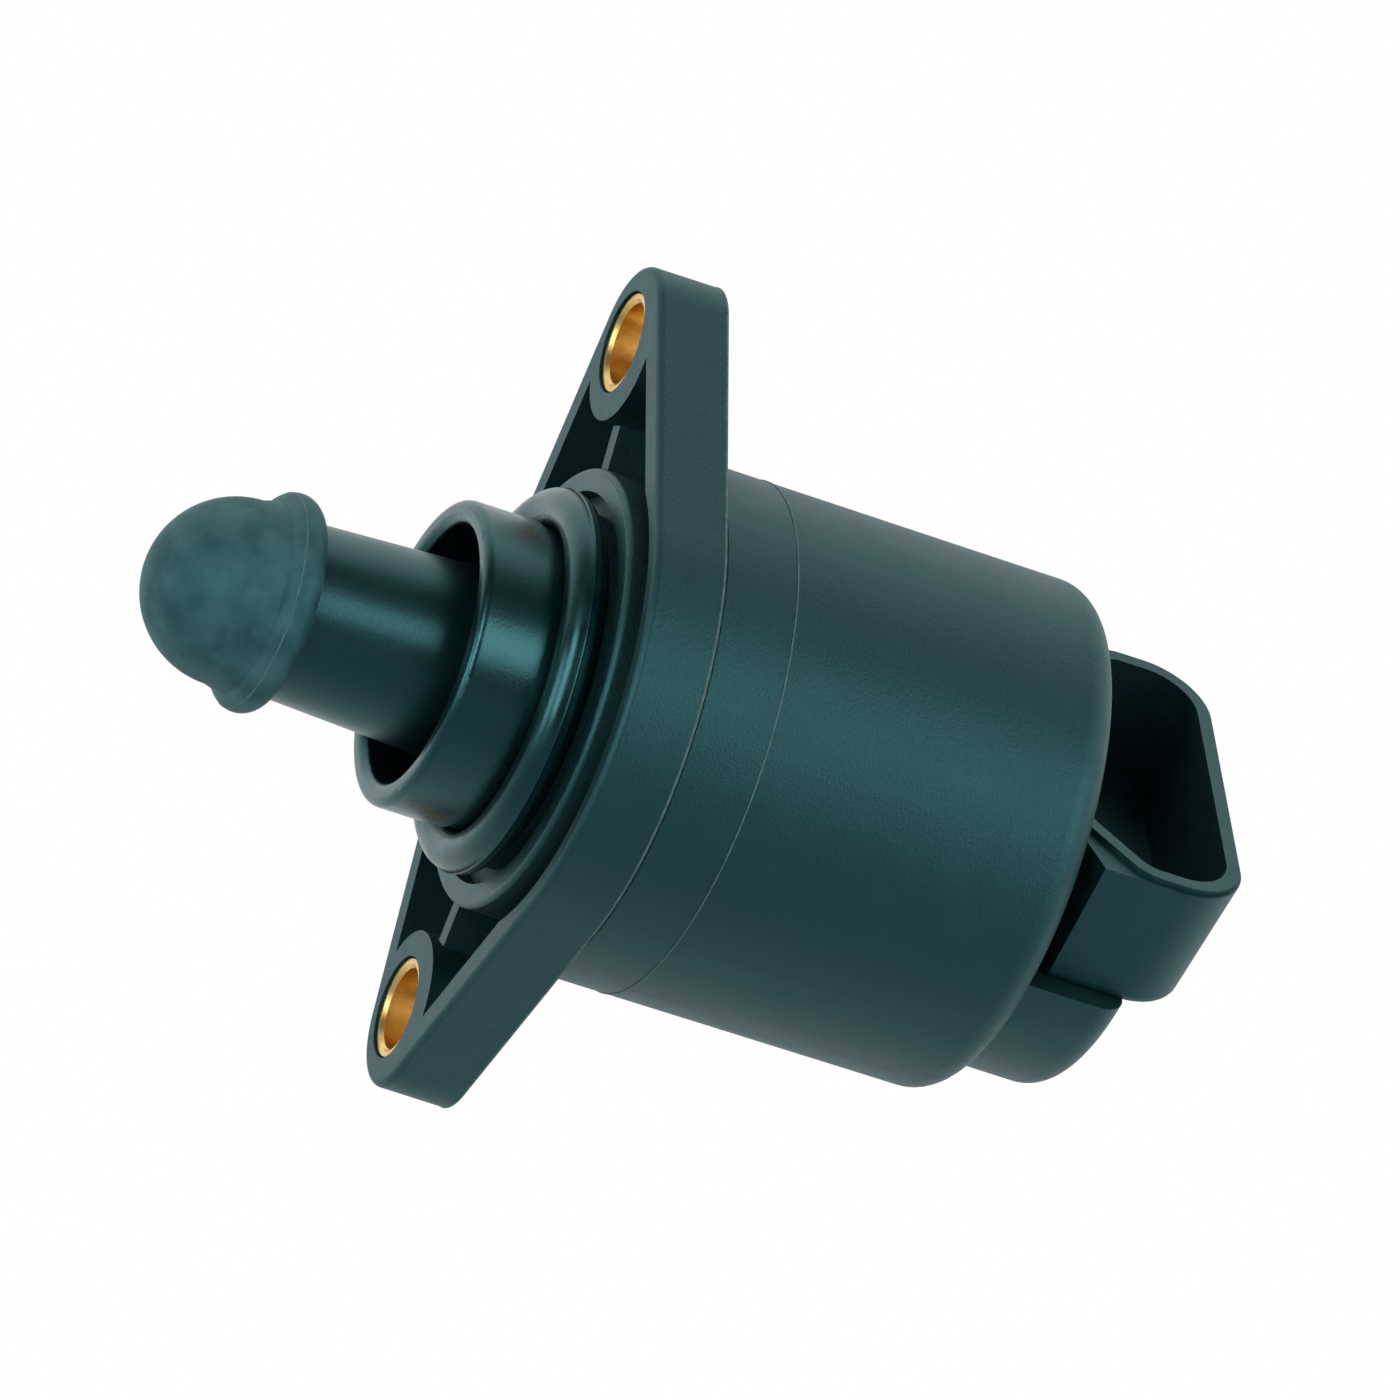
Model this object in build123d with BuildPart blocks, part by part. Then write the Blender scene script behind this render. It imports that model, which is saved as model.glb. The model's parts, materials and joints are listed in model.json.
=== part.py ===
"""An idle air control valve: a small stepping motor that screws a plastic pintle in and out
of a bypass air port.

Frame: X runs along the valve axis, from the pintle to the electrical socket. The origin is on
that axis, in the plane of the flange face that is bolted to the throttle body. Z runs along
the line through the two bolt holes. Millimetres.
"""
import os
from math import cos, radians, sin, tan

from build123d import *

os.makedirs("parts", exist_ok=True)

# Mounting flange: a round lobe, flush with the motor case, and two ears set off to one side
flange_thickness = 5.25
ear_spacing = 48.0
ear_offset = 7.4
ear_radius = 5.55
rim_wall = 2.0
lobe_rim_wall = 1.3
rim_round = 0.5
pocket_depth = 3.9
rib_thickness = 1.4
rib_lean = 9.5
rib_length = 3.2
rib_root = 1.0
flange_edge = 0.15

# Brass bushes in the ears, set a little off the ears' middles
bush_offset = 8.0
bush_radius = 3.5
bush_bore_radius = 2.9
bush_recess = 0.2
bush_chamfer = 0.25
hole_relief = 0.15
hole_relief_depth = 0.5

# Seat ring with its groove, collar and O-ring
seat_gap = 1.4
seat_height = 0.9
seat_edge = 0.4
seat_lip = 1.7
groove_width = 1.4
groove_depth = 1.2
collar_radius = 10.95
collar_wall = 1.7
collar_length = 9.25
land_depth = 0.2
land_gap = 0.3
collar_rim_round = 0.65
collar_bore_depth = 1.6
cord_diameter = 3.0

# Bearing seat inside the front housing
lip_reach = 0.6
lip_thickness = 0.8
sleeve_wall = 1.8
core_wall = 3.3
spigot_wall = 1.2

# Guide plate, which lets the screw slide and stops it from turning
guide_thickness = 1.8
guide_hub_radius = 3.8
guide_hub_reach = 3.4
guide_relief = 0.3
guide_relief_radius = 6.2

# Front ball bearing
bearing_bore_radius = 4.0
bearing_width = 5.0
ring_wall = 1.25
ball_radius = 1.19
ball_count = 9
ball_clearance = 0.06
race_gap = 1.5

# Travel of the pintle from the place where it is drawn: in to fully open, out to its stop
stroke_in = 7.5
stroke_out = 1.0

# Lead screw and pintle
screw_radius = 2.5
screw_flat = 2.0
screw_tail = 3.8
screw_edge = 0.4
flat_overrun = 0.5
running_clearance = 0.05
stem_rear = -5.5
stem_rear_radius = 6.85
stem_front_radius = 6.2
core_radius = 4.4
core_depth = 5.0
screw_grip = 6.5
bead_front = -21.9
bead_rear = -19.2
bead_radius = 7.8
bead_root = 0.35
bead_edge = 0.15
bead_step = 0.75
nose_centre = -23.0
nose_radius = 6.55

# Motor case: just under the lobe in front, and tapered towards the rear
case_step = 0.05
case_taper = 0.2
case_wall = 2.05
case_edge = 2.3
bush_cap = 1.15
boss_step = 2.65
boss_length = 7.6
boss_edge = 2.0

# Stator: two coils one behind the other, each between two claw-pole cups
stator_start = 10.0
stack_length = 10.5
sheet = 1.0
cup_clearance = 0.05
claw_thickness = 0.8
claw_count = 6
claw_root_angle = 13.0
claw_tip_angle = 7.0
claw_tip_gap = 1.0
bobbin_clearance = 0.1
bobbin_wall = 0.8
bobbin_gap = 0.25
winding_depth = 3.7
winding_recess = 0.7

# Rotor
air_gap = 0.3
magnet_wall = 3.0
magnet_front_gap = 1.5
magnet_rear_gap = 2.0
magnet_edge = 0.4
nut_length = 9.0
screw_relief = 0.6
journal_wall = 0.8
journal_step = 1.7
bush_wall_rear = 1.9
rear_bush_length = 2.2
washer_thickness = 0.4
end_play = 0.15

# Electrical socket: its mouth opens across the valve axis, leaning towards -Y
socket_lean = 28.0
socket_standoff = 1.3
socket_length = 10.0
socket_side_gap = 1.9
socket_front_cut = 3.8
socket_front_corner = 1.0
socket_side_corner = 2.0
socket_rear_corner = 3.6
socket_rear_lean = 0.6
socket_floor = 0.8
socket_mouth = 9.0
socket_wall = 1.3
socket_underside = -1.3
underside_round = 0.9
cheek_cut = 1.8
cheek_width = 4.3
lip_height = 0.4
lip_wall = 1.0
boss_lap = 0.2
well_front_gap = 0.4
well_length = 5.2
well_side_gap = 2.7
well_floor = -5.0
well_corner = 0.8

# Terminals, and the block of the rear bobbin that holds their inner ends
terminal_count = 4
terminal_pitch = 5.0
terminal_size = 0.8
terminal_bend = 1.2
terminal_level = -11.1
terminal_tip = 3.0
block_side_gap = 0.7
block_height = 2.4
block_reach = 1.6

# Radii that follow, from the screw outwards to the lobe
relief_radius = screw_radius + screw_relief
journal_radius = relief_radius + journal_wall
magnet_bond_radius = journal_radius + journal_step
magnet_radius = magnet_bond_radius + magnet_wall
claw_bore_radius = magnet_radius + air_gap
bobbin_bore = claw_bore_radius + claw_thickness + bobbin_clearance
winding_radius = bobbin_bore + bobbin_wall + winding_depth
bobbin_flange_radius = winding_radius + winding_recess
cup_radius = bobbin_flange_radius + bobbin_gap + sheet
case_bore_radius = cup_radius + cup_clearance
case_front_radius = case_bore_radius + case_wall
case_rear_radius = case_front_radius - case_taper
boss_radius = case_rear_radius - boss_step
lobe_radius = case_front_radius + case_step
seat_radius = lobe_radius - lobe_rim_wall - seat_gap
groove_radius = seat_radius - seat_lip
collar_bore_radius = collar_radius - collar_wall
land_radius = collar_radius - land_depth
bearing_radius = bearing_bore_radius + 2 * ring_wall + race_gap
lip_radius = bearing_radius - lip_reach
pitch_radius = (bearing_radius + bearing_bore_radius) / 2
race_radius = ball_radius + ball_clearance
rear_bush_radius = journal_radius + running_clearance + bush_wall_rear

# Places along the valve axis that follow
lip_x = collar_bore_depth
guide_x = lip_x + lip_thickness
bearing_x = guide_x + guide_thickness
bearing_end = bearing_x + bearing_width
stator_end = stator_start + 2 * stack_length
magnet_start = stator_start + magnet_front_gap
magnet_end = stator_end - magnet_rear_gap
rotor_end = stator_end + end_play
rear_bush_x = rotor_end + washer_thickness + end_play
rear_bush_end = rear_bush_x + rear_bush_length
case_rear = rear_bush_end + end_play + bush_cap
boss_rear = case_rear + boss_length
socket_front = case_rear + socket_standoff
socket_rear = socket_front + socket_length
well_front = socket_front + well_front_gap
terminal_x = well_front + well_length / 2
o_ring_x = -seat_height - cord_diameter / 2
o_ring_radius = land_radius + cord_diameter / 2
land_front = o_ring_x - cord_diameter / 2 - land_gap
screw_front = stem_rear - core_depth - screw_grip
screw_rear = bearing_end + nut_length + screw_tail
# the flats reach past both ends of the guide over the whole travel
flat_start = guide_x - guide_hub_reach - stroke_in - flat_overrun
flat_end = bearing_x + stroke_out + flat_overrun

# Places across it that follow
ear_places = [(ear_offset, side * ear_spacing / 2) for side in (1, -1)]
bush_places = [(bush_offset, side * ear_spacing / 2) for side in (1, -1)]
terminal_half = ((terminal_count - 1) * terminal_pitch + terminal_size) / 2
well_half_width = terminal_half + well_side_gap
block_half_width = terminal_half + block_side_gap
socket_half_width = well_half_width + socket_side_gap

# Socket frame: x along the valve, y across the socket, z out of its mouth
mouth_direction = Vector(0, -sin(radians(socket_lean)), cos(radians(socket_lean)))
socket_plane = Plane(origin=(0, 0, 0), x_dir=(1, 0, 0), z_dir=mouth_direction)
# Plane across the valve axis, with its own y along the mouth direction
socket_yz = Plane(origin=(0, 0, 0), x_dir=socket_plane.y_dir, z_dir=(1, 0, 0))


def tube(start, end, outer, inner=0, mode=Mode.ADD):
    """Add or cut a round tube along the valve axis."""
    with BuildSketch(Plane.YZ.offset(start)) as ring:
        Circle(outer)
        if inner:
            Circle(inner, mode=Mode.SUBTRACT)
    extrude(ring.sketch, amount=end - start, mode=mode)


def turned(*points, mode=Mode.ADD):
    """Turn a closed outline of (x, radius) points about the valve axis."""
    with BuildSketch(Plane.XZ) as half_section:
        with BuildLine():
            Polyline(*points, close=True)
        make_face()
    revolve(half_section.sketch, axis=Axis.X, mode=mode)


def flange_outline():
    """The lobe and the two ears, joined by their common tangents."""
    Circle(lobe_radius)
    with Locations(*ear_places):
        Circle(ear_radius)
    make_hull()


def save(node, part):
    part.label = node
    export_step(part, f"parts/{node}.step")


# Front housing: flange, seat ring, collar and bearing seat in one moulding
with BuildPart() as front_housing:
    with BuildSketch(Plane.YZ):
        flange_outline()
    extrude(amount=flange_thickness)
    fillet(front_housing.edges().group_by(Axis.X)[-1], radius=flange_edge)
    fillet(front_housing.edges().group_by(Axis.X)[0], radius=rim_round)
    # cored front face: everything inside the rim, less the bosses and the ribs
    with BuildSketch(Plane.YZ):
        flange_outline()
        offset(amount=-rim_wall)
        Circle(lobe_radius - lobe_rim_wall)
        Circle(seat_radius, mode=Mode.SUBTRACT)
        with Locations(*ear_places):
            Circle(ear_radius, mode=Mode.SUBTRACT)
        for side in (1, -1):
            with Locations(Rotation(0, 0, -side * rib_lean)):
                with Locations((0, side * (seat_radius + (rib_length - rib_root) / 2))):
                    Rectangle(rib_thickness, rib_length + rib_root, mode=Mode.SUBTRACT)
    extrude(amount=pocket_depth, mode=Mode.SUBTRACT)
    tube(0, flange_thickness, seat_radius, mode=Mode.SUBTRACT)
    turned(
        (-collar_length, collar_bore_radius),
        (-collar_length, collar_radius),
        (land_front, collar_radius),
        (land_front, land_radius),
        (-seat_height, land_radius),
        (-seat_height, groove_radius - groove_width),
        (groove_depth - seat_height, groove_radius - groove_width),
        (groove_depth - seat_height, groove_radius),
        (-seat_height, groove_radius),
        (-seat_height, seat_radius),
        (flange_thickness, seat_radius),
        (flange_thickness, seat_radius - spigot_wall),
        (core_wall - seat_height, seat_radius - spigot_wall),
        (core_wall - seat_height, bearing_radius + sleeve_wall),
        (bearing_end, bearing_radius + sleeve_wall),
        (bearing_end, bearing_radius),
        (guide_x, bearing_radius),
        (guide_x, lip_radius),
        (lip_x, lip_radius),
        (lip_x, collar_bore_radius),
    )
    collar_rim = front_housing.edges().group_by(Axis.X)[0]
    fillet(collar_rim, radius=min(collar_rim_round, 0.45 * collar_wall))
    seat_rim = front_housing.edges().filter_by(GeomType.CIRCLE).filter_by(
        lambda edge: edge.radius > seat_radius - 0.01 and edge.arc_center.X < -0.01)
    fillet(seat_rim, radius=seat_edge)
    # spigot that enters the motor case and stops the stator
    tube(flange_thickness, stator_start, cup_radius, cup_radius - spigot_wall)
    with BuildSketch(Plane.YZ):
        with Locations(*bush_places):
            Circle(bush_radius)
    extrude(amount=flange_thickness, mode=Mode.SUBTRACT)
    with BuildSketch(Plane.YZ):
        with Locations(*bush_places):
            Circle(bush_radius + hole_relief)
    extrude(amount=hole_relief_depth, mode=Mode.SUBTRACT)
save("front_housing", front_housing.part)

# Brass compression bushes
for (y, z), node in zip(bush_places, ("bush_upper", "bush_lower")):
    with BuildPart() as bush:
        with BuildSketch(Plane.YZ.offset(bush_recess)):
            with Locations((y, z)):
                Circle(bush_radius)
                Circle(bush_bore_radius, mode=Mode.SUBTRACT)
        extrude(amount=flange_thickness - bush_recess)
        mouths = bush.edges().filter_by(GeomType.CIRCLE).filter_by(
            lambda edge: edge.radius < bush_radius - 0.01)
        chamfer(mouths, length=bush_chamfer)
    save(node, bush.part)

# O-ring on the collar, against the seat ring
with BuildPart() as o_ring:
    with BuildSketch(Plane.XZ):
        with Locations((o_ring_x, o_ring_radius)):
            Circle(cord_diameter / 2)
    revolve(axis=Axis.X)
save("o_ring", o_ring.part)

# Guide plate with a bore that has two flats
with BuildPart() as guide_plate:
    tube(guide_x, bearing_x, bearing_radius)
    tube(guide_x - guide_hub_reach, guide_x, guide_hub_radius)
    tube(bearing_x - guide_relief, bearing_x, guide_relief_radius, mode=Mode.SUBTRACT)
    with BuildSketch(Plane.YZ.offset(guide_x - guide_hub_reach)):
        Circle(screw_radius + running_clearance)
        flat_width = 2 * (screw_flat + running_clearance)
        Rectangle(flat_width, 4 * screw_radius, mode=Mode.INTERSECT)
    extrude(amount=guide_hub_reach + guide_thickness, mode=Mode.SUBTRACT)
save("guide_plate", guide_plate.part)

# Front ball bearing
bearing_middle = bearing_x + bearing_width / 2
with BuildPart() as bearing_outer_ring:
    tube(bearing_x, bearing_end, bearing_radius, pitch_radius + race_gap / 2)
    with BuildSketch(Plane.XZ):
        with Locations((bearing_middle, pitch_radius)):
            Circle(race_radius)
    revolve(axis=Axis.X, mode=Mode.SUBTRACT)
save("bearing_outer_ring", bearing_outer_ring.part)

with BuildPart() as bearing_inner_ring:
    tube(bearing_x, bearing_end, pitch_radius - race_gap / 2, bearing_bore_radius)
    with BuildSketch(Plane.XZ):
        with Locations((bearing_middle, pitch_radius)):
            Circle(race_radius)
    revolve(axis=Axis.X, mode=Mode.SUBTRACT)
save("bearing_inner_ring", bearing_inner_ring.part)

with BuildPart() as bearing_balls:
    with Locations(Plane.YZ.offset(bearing_middle)):
        with PolarLocations(pitch_radius, ball_count):
            Sphere(ball_radius)
save("bearing_balls", bearing_balls.part)

# Lead screw: its two flats slide in the guide plate
with BuildPart() as lead_screw:
    tube(screw_front, screw_rear, screw_radius)
    chamfer(lead_screw.edges().group_by(Axis.X)[-1], length=screw_edge)
    for side in (1, -1):
        with BuildSketch(Plane.YZ.offset(flat_start)):
            with Locations((side * (screw_flat + screw_radius / 2), 0)):
                Rectangle(screw_radius, 4 * screw_radius)
        extrude(amount=flat_end - flat_start, mode=Mode.SUBTRACT)
save("lead_screw", lead_screw.part)

# Pintle: domed nose, seat bead and a stem that widens towards the collar
with BuildPart() as pintle:
    with BuildSketch(Plane.XZ):
        with BuildLine():
            dome = CenterArc((nose_centre, 0), nose_radius, 90, 90)
            neck = Line(dome @ 0, (bead_front, nose_radius + bead_root))
            bead = ThreePointArc(
                neck @ 1,
                ((bead_front + bead_rear) / 2, bead_radius),
                (bead_rear - bead_edge, bead_radius - bead_step),
            )
            Polyline(
                bead @ 1,
                (bead_rear, stem_front_radius),
                (stem_rear, stem_rear_radius),
                (stem_rear, core_radius),
                (stem_rear - core_depth, core_radius),
                (stem_rear - core_depth, screw_radius),
                (screw_front, screw_radius),
                (screw_front, 0),
                dome @ 1,
            )
        make_face()
    revolve(axis=Axis.X)
save("pintle", pintle.part)

# Claw-pole cups
claw_length = stack_length - sheet - claw_tip_gap


def claw_cup(disc_start, direction, turn, walled, windowed):
    """A pressed cup: a disc with a ring of tapered claws bent along the bore."""
    root = disc_start if direction > 0 else disc_start + sheet
    tip = root + direction * claw_length
    with BuildPart() as cup:
        for index in range(claw_count):
            angle = radians(turn + index * 360 / claw_count)
            outward = Vector(0, cos(angle), sin(angle))
            half_root = claw_bore_radius * tan(radians(claw_root_angle))
            half_tip = claw_bore_radius * tan(radians(claw_tip_angle))
            claw_plane = Plane(
                origin=outward * (claw_bore_radius - claw_thickness),
                x_dir=(1, 0, 0), z_dir=outward)
            with BuildSketch(claw_plane):
                with BuildLine():
                    Polyline(
                        (root, -half_root), (tip, -half_tip),
                        (tip, half_tip), (root, half_root), close=True)
                make_face()
            extrude(amount=3 * claw_thickness)
        low = min(root, tip)
        tube(low, low + claw_length, claw_bore_radius + claw_thickness,
             claw_bore_radius, mode=Mode.INTERSECT)
        tube(disc_start, disc_start + sheet, cup_radius, claw_bore_radius)
        if walled:
            tube(disc_start, disc_start + stack_length - sheet, cup_radius, cup_radius - sheet)
        if windowed:
            with BuildSketch(socket_yz.offset(disc_start)):
                with Locations((0, terminal_level)):
                    Rectangle(2 * block_half_width, block_height)
            extrude(amount=sheet, mode=Mode.SUBTRACT)
    return cup.part


half_pitch = 180 / claw_count
for number in range(2):
    coil = ("front", "rear")[number]
    stack = stator_start + number * stack_length
    quarter_turn = number * half_pitch / 2
    outer_cup = claw_cup(stack, 1, quarter_turn, True, False)
    save(f"stator_{coil}_cup", outer_cup)
    lid_cup = claw_cup(
        stack + stack_length - sheet, -1, quarter_turn + half_pitch, False, number == 1)
    save(f"stator_{coil}_lid", lid_cup)

    bobbin_start = stack + sheet
    bobbin_end = stack + stack_length - sheet
    with BuildPart() as bobbin:
        tube(bobbin_start, bobbin_end, bobbin_flange_radius, bobbin_bore)
        tube(bobbin_start + bobbin_wall, bobbin_end - bobbin_wall, bobbin_flange_radius,
             bobbin_bore + bobbin_wall, mode=Mode.SUBTRACT)
        if number == 1:
            with BuildSketch(socket_yz.offset(bobbin_end)):
                with Locations((0, terminal_level)):
                    Rectangle(2 * block_half_width, block_height)
            extrude(amount=sheet + block_reach)
            with BuildSketch(socket_yz.offset(bobbin_end + sheet)):
                with Locations((0, terminal_level)):
                    with GridLocations(terminal_pitch, 0, terminal_count, 1):
                        Rectangle(terminal_size, terminal_size)
            extrude(amount=block_reach, mode=Mode.SUBTRACT)
    save(f"bobbin_{coil}", bobbin.part)

    with BuildPart() as winding:
        tube(bobbin_start + bobbin_wall, bobbin_end - bobbin_wall, winding_radius,
             bobbin_bore + bobbin_wall)
    save(f"winding_{coil}", winding.part)

# Rotor: a hub with the nut in its front half, and a ring magnet bonded to it
with BuildPart() as rotor_hub:
    turned(
        (bearing_x, screw_radius + running_clearance),
        (bearing_x, bearing_bore_radius),
        (bearing_end, bearing_bore_radius),
        (bearing_end, pitch_radius - race_gap / 2),
        (magnet_start, magnet_bond_radius),
        (rotor_end, magnet_bond_radius),
        (rotor_end, journal_radius),
        (rear_bush_end, journal_radius),
        (rear_bush_end, relief_radius),
        (bearing_end + nut_length, relief_radius),
        (bearing_end + nut_length, screw_radius + running_clearance),
    )
save("rotor_hub", rotor_hub.part)

with BuildPart() as rotor_magnet:
    tube(magnet_start, magnet_end, magnet_radius, magnet_bond_radius)
    rims = rotor_magnet.edges().filter_by(GeomType.CIRCLE).sort_by(SortBy.RADIUS)[-2:]
    chamfer(rims, length=magnet_edge)
save("rotor_magnet", rotor_magnet.part)

with BuildPart() as thrust_washer:
    tube(rotor_end, rotor_end + washer_thickness, magnet_bond_radius,
         journal_radius + running_clearance)
save("thrust_washer", thrust_washer.part)

with BuildPart() as rear_bush:
    tube(rear_bush_x, rear_bush_end, rear_bush_radius, journal_radius + running_clearance)
save("rear_bush", rear_bush.part)

# Terminals: back from the rear bobbin, then up through the floor of the socket
terminal_rows = [
    (index - (terminal_count - 1) / 2) * terminal_pitch for index in range(terminal_count)]


def terminal_bar(row, mode=Mode.ADD):
    """One bent square bar with a tapered tip, added to or cut from the part in hand."""
    half = terminal_size / 2
    bar_plane = Plane(
        origin=socket_plane.y_dir * (row + half), x_dir=(1, 0, 0), z_dir=socket_plane.y_dir * -1)
    with BuildSketch(bar_plane) as profile:
        with BuildLine():
            Polyline(
                (stator_end, terminal_level - half),
                (terminal_x + half, terminal_level - half),
                (terminal_x + half, terminal_tip - terminal_size),
                (terminal_x + half / 3, terminal_tip),
                (terminal_x - half / 3, terminal_tip),
                (terminal_x - half, terminal_tip - terminal_size),
                (terminal_x - half, terminal_level + half),
                (stator_end, terminal_level + half),
                close=True)
        make_face()
        bend = profile.vertices().sort_by_distance((terminal_x + half, terminal_level - half))
        fillet(bend[0], radius=terminal_bend)
    extrude(profile.sketch, amount=terminal_size, mode=mode)


for index, row in enumerate(terminal_rows):
    with BuildPart() as terminal:
        terminal_bar(row)
    save(f"terminal_{index + 1}", terminal.part)


def rear_lean(level):
    """How far the socket's rear wall has leaned in at a level below the mouth."""
    return socket_rear_lean * (socket_mouth - level) / (socket_mouth - socket_underside)


def socket_outline(grow, level):
    """The socket's cross-section: two front corners cut off, two rear ones rounded."""
    front = socket_front - grow
    rear = socket_rear + grow - rear_lean(level)
    half = socket_half_width + grow
    front_half = socket_half_width - socket_front_cut + grow * tan(radians(22.5))
    shoulder = front + half - front_half
    one_side = [
        socket_front_corner + grow, socket_side_corner + grow, socket_rear_corner + grow]
    with BuildLine() as outline:
        FilletPolyline(
            (front, -front_half), (shoulder, -half), (rear, -half),
            (rear, half), (shoulder, half), (front, front_half),
            radius=one_side + one_side[::-1], close=True)
    make_face(outline.edges())


def block_outline(level):
    """The block round the socket: straight cheeks in front, rounded corners behind."""
    front = socket_front - socket_wall
    rear = socket_rear + socket_wall - rear_lean(level)
    half = socket_half_width + socket_wall
    with BuildLine() as outline:
        Polyline(
            (front, cheek_width - half), (front + cheek_cut, -half), (rear, -half),
            (rear, half), (front + cheek_cut, half), (front, half - cheek_width), close=True)
    block = make_face(outline.edges())
    fillet(block.vertices().group_by(Axis.X)[-1], radius=socket_rear_corner + socket_wall)


def between(outline, low, high):
    """Two outlines across the socket, at a low and a high level, for a loft."""
    ends = []
    for level in (low, high):
        with BuildSketch(socket_plane.offset(level)) as end:
            outline(level)
        ends.append(end.sketch)
    return ends


# Motor case: round body, rear boss and electrical socket in one moulding
with BuildPart() as case_body:
    turned(
        (flange_thickness, 0),
        (flange_thickness, case_front_radius),
        (case_rear, case_rear_radius),
        (case_rear, 0),
    )
    fillet(case_body.edges().group_by(Axis.X)[-1], radius=case_edge)
    chamfer(case_body.edges().group_by(Axis.X)[0], length=flange_edge)

with BuildPart() as case_boss:
    tube(case_rear, boss_rear, boss_radius)
    fillet(case_boss.edges().group_by(Axis.X)[-1], radius=boss_edge)
    with BuildSketch(socket_plane.offset(socket_underside + boss_lap)):
        with Locations((boss_rear, 0)):
            Rectangle(2 * boss_rear, 4 * boss_radius)
    extrude(amount=2 * boss_radius, mode=Mode.SUBTRACT)

with BuildPart() as motor_case:
    loft(between(block_outline, socket_underside, socket_mouth - lip_height), ruled=True)
    underside = motor_case.faces().sort_by(Axis((0, 0, 0), mouth_direction))[0]
    fillet(underside.edges(), radius=underside_round)
    with BuildSketch(socket_plane.offset(socket_mouth - lip_height)):
        socket_outline(lip_wall, socket_mouth)
    extrude(amount=lip_height)
    add(case_body.part)
    add(case_boss.part)
    # socket cavity, and the deeper well that the terminals stand in
    cavity = between(lambda level: socket_outline(0, level), socket_floor, socket_mouth)
    loft(cavity, ruled=True, mode=Mode.SUBTRACT)
    with BuildSketch(socket_plane.offset(well_floor)):
        with Locations((terminal_x, 0)):
            RectangleRounded(well_length, 2 * well_half_width, well_corner)
    extrude(amount=socket_floor - well_floor, mode=Mode.SUBTRACT)
    # bore for the stator, pockets for the rear bush and the terminal block
    tube(flange_thickness, stator_end, case_bore_radius, mode=Mode.SUBTRACT)
    tube(stator_end, rear_bush_end + end_play, rear_bush_radius, mode=Mode.SUBTRACT)
    with BuildSketch(socket_yz.offset(stator_end)):
        with Locations((0, terminal_level)):
            Rectangle(2 * block_half_width, block_height)
    extrude(amount=block_reach, mode=Mode.SUBTRACT)
    for row in terminal_rows:
        terminal_bar(row, mode=Mode.SUBTRACT)
save("motor_case", motor_case.part)
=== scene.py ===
# %% [markdown]
# # An idle air control valve, dressed for its portrait
#
# The CAD model already holds every solid of the valve: the moulded flange and motor case, the pintle,
# the O-ring, the bushes and the stepping motor inside. This notebook lights it like a catalogue
# picture, gives each part the finish of its real material, and adds what is too fine for a solid
# model: the moulding flash, the parting lines, the screw thread and the wound wire.

import json
import math

import bpy
import numpy as np
from mathutils import Matrix, Vector


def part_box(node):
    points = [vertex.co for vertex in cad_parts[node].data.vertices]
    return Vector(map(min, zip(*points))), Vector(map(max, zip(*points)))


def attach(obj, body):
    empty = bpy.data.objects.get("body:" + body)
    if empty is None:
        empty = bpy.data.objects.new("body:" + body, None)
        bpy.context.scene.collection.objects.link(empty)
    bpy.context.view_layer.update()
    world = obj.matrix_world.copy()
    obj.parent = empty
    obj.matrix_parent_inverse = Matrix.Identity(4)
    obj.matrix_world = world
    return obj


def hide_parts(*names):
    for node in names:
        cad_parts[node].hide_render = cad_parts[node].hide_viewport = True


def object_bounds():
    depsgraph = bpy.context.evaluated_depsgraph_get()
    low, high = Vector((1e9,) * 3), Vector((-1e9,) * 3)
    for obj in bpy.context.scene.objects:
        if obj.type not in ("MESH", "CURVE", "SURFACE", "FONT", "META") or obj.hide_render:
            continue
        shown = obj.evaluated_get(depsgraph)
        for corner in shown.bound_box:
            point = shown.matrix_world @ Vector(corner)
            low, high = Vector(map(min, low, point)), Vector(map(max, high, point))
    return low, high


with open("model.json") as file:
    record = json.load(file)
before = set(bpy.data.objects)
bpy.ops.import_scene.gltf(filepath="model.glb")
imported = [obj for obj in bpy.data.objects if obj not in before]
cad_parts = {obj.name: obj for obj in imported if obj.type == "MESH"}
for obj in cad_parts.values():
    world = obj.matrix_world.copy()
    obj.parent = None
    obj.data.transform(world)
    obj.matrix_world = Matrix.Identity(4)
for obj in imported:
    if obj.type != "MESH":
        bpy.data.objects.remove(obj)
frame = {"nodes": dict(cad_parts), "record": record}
nodes = frame["nodes"]
cad_box = [list(corner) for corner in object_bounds()]
MM = 0.001
print("nodes:", len(nodes), "box in mm:", np.round(np.array(cad_box) / MM, 1).tolist())

# %% [markdown]
# ## Camera
#
# The picture was taken with a long lens from almost the height of the valve, with the camera turned
# about its own axis, so that the valve hangs diagonally. A camera is three directions and a place:
# azimuth and elevation give the line of sight, the roll turns the frame about it, and the distance
# with the focal length gives the scale. Starting from the numbers, not from a tracked target, keeps
# the roll exact.

# %% Place the camera
PHOTO_SIDE = 1400
FOCAL_PIXELS = 44468
SENSOR_WIDTH = 36
AZIMUTH, ELEVATION, ROLL = math.radians(-18.355), math.radians(2.727), math.radians(18.775)
AIM = Vector((10.52, -1.3, 2.80)) * MM
DISTANCE = 3.030
NEAREST, FURTHEST = 0.1, 50


def sight(bearing, height):
    """The unit vector (sin b cos h, -cos b cos h, sin h) for a bearing b and a height h in radians."""
    return Vector((
        math.sin(bearing) * math.cos(height),
        -math.cos(bearing) * math.cos(height),
        math.sin(height)))


toward_camera = sight(AZIMUTH, ELEVATION)
level = Vector((math.cos(AZIMUTH), math.sin(AZIMUTH), 0))
upright = toward_camera.cross(level)
right = level * math.cos(ROLL) + upright * math.sin(ROLL)
up = upright * math.cos(ROLL) - level * math.sin(ROLL)

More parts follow.
